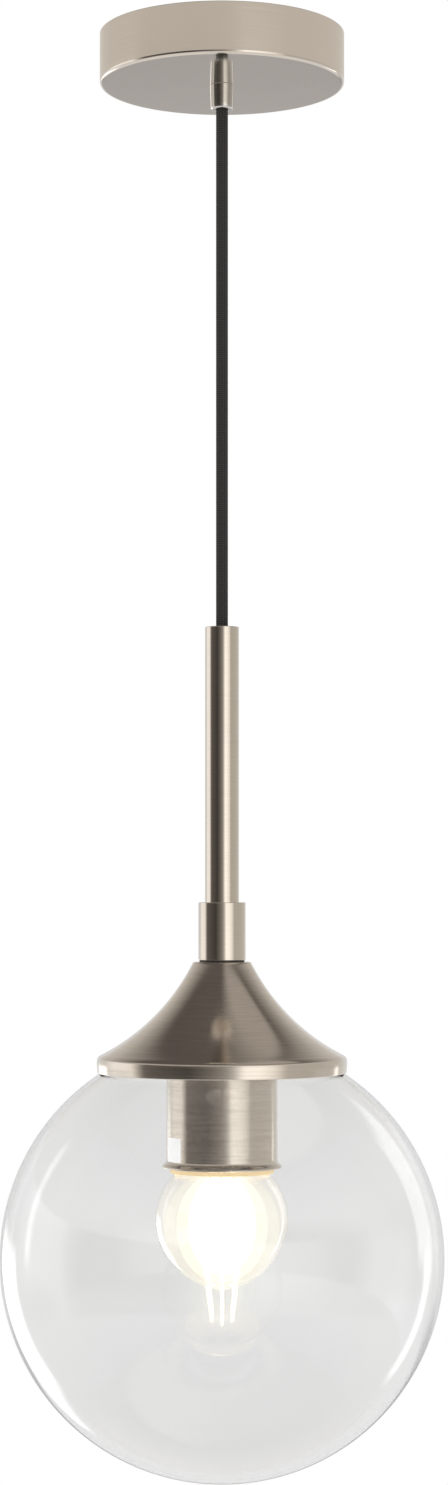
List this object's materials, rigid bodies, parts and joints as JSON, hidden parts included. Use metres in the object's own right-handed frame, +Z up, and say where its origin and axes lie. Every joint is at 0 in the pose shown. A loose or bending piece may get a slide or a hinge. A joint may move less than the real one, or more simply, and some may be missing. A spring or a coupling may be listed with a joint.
{
  "type": "pendant ceiling light",
  "caption": "Ceiling pendant with a round metal canopy, black fabric cord, slim stem, trumpet-shaped cap and a clear glass globe round a screw-base filament bulb.",
  "frame": {"origin": "middle of the crossbar's top face, on the ceiling plane, midway between the two ceiling screw slots", "axes": "+Z up into the ceiling along the lamp's axis, +X along the crossbar through both slots"},
  "size_m": [0.2, 0.2, 0.6515],
  "materials": {
    "brushed_nickel": "brushed, warm",
    "polished_nickel": "polished",
    "zinc_steel": "zinc plated",
    "brass": "plain",
    "base_metal": "nickel plated",
    "solder": "solder",
    "black_fabric": "woven",
    "black_plastic": "matt",
    "nylon": "natural",
    "live_insulation": "black",
    "neutral_insulation": "white",
    "ground_insulation": "green",
    "globe_glass": "clear",
    "bulb_clear": "clear",
    "stem_glass": "clear",
    "insulator_glass": "vitrified black",
    "silicone": "translucent",
    "porcelain": "glazed",
    "liner": "fibre board",
    "white_label": "blank paper",
    "filament_glow": "phosphor coat",
    "wire": "bright",
    "board": "epoxy board"
  },
  "bodies": {
    "ceiling": {"crossbar": "zinc_steel", "canopy": "brushed_nickel", "canopy_screws": "zinc_steel", "cord_grip": "polished_nickel", "grip_washer": "zinc_steel", "grip_nut": "zinc_steel", "cord_clamp": "nylon", "clamp_screws": "zinc_steel", "terminal_block": "nylon", "block_sleeves": "brass", "block_screws": "zinc_steel", "ground_screw": "brass", "live_lead": "live_insulation", "neutral_lead": "neutral_insulation", "ground_lead": "ground_insulation", "cord_tail": "black_fabric"},
    "upper_bend": {"cord_bend_upper": "black_fabric"},
    "cord": {"cord_run": "black_fabric"},
    "lower_bend": {"cord_bend_lower": "black_fabric"},
    "stem_end": {"cord_stem_end": "black_fabric"},
    "lamp": {"cord_in_stem": "black_fabric", "stem_tube": "brushed_nickel", "stem_bushing": "black_plastic", "cord_anchor": "brass", "stem_insert": "zinc_steel", "collar": "brushed_nickel", "collar_washer": "black_plastic", "threaded_nipple": "zinc_steel", "cap_nut": "zinc_steel", "spring_washer": "zinc_steel", "spacer_tube": "zinc_steel", "cup_nut": "zinc_steel", "flared_cap": "brushed_nickel", "glass_fitter": "zinc_steel", "socket_cup": "brushed_nickel", "socket_sleeve": "liner", "rating_label": "white_label", "socket_body": "porcelain", "socket_terminals": "zinc_steel", "screw_shell": "brass", "centre_contact": "brass", "stem_live_lead": "live_insulation", "stem_neutral_lead": "neutral_insulation"},
    "globe_seat": {"globe_gasket": "silicone"},
    "globe": {"glass_globe": "globe_glass"},
    "bulb_contact": {"bulb_tip": "solder"},
    "bulb": {"bulb_glass": "bulb_clear", "bulb_base": "base_metal", "bulb_insulator": "insulator_glass", "bulb_driver": "board", "bulb_stem": "stem_glass", "filaments": "filament_glow", "filament_wires": "wire"}
  },
  "joints": [
    {"name": "swing_x", "type": "hinge", "parent": "ceiling", "child": "upper_bend", "pos_m": [0, 0, -0.04], "axis": [1, 0, 0], "range_deg": [-30, 30]},
    {"name": "swing_y", "type": "hinge", "parent": "upper_bend", "child": "cord", "pos_m": [0, 0, -0.052], "axis": [0, 1, 0], "range_deg": [-30, 30]},
    {"name": "tilt_x", "type": "hinge", "parent": "cord", "child": "lower_bend", "pos_m": [0, 0, -0.246], "axis": [1, 0, 0], "range_deg": [-25, 25]},
    {"name": "tilt_y", "type": "hinge", "parent": "lower_bend", "child": "stem_end", "pos_m": [0, 0, -0.258], "axis": [0, 1, 0], "range_deg": [-25, 25]},
    {"name": "lamp_spin", "type": "hinge", "parent": "stem_end", "child": "lamp", "pos_m": [0, 0, -0.2675], "axis": [0, 0, 1], "range_deg": [-180, 180], "stiffness_Nm_per_rad": 0.002},
    {"name": "globe_drop", "type": "slide", "parent": "lamp", "child": "globe_seat", "axis": [0, 0, -1], "range_m": [0, 0.112]},
    {"name": "globe_turn", "type": "hinge", "parent": "globe_seat", "child": "globe", "pos_m": [0, 0, -0.5515], "axis": [0, 0, -1], "range_deg": [0, 720]},
    {"name": "bulb_drop", "type": "slide", "parent": "lamp", "child": "bulb_contact", "axis": [0, 0, -1], "range_m": [0, 0.0292]},
    {"name": "bulb_turn", "type": "hinge", "parent": "bulb_contact", "child": "bulb", "pos_m": [0, 0, -0.475], "axis": [0, 0, -1], "range_deg": [0, 2900]}
  ],
  "couplings": [
    {"joint": "bulb_turn", "follows": "bulb_drop", "rad_per_m": 1731.4}
  ]
}
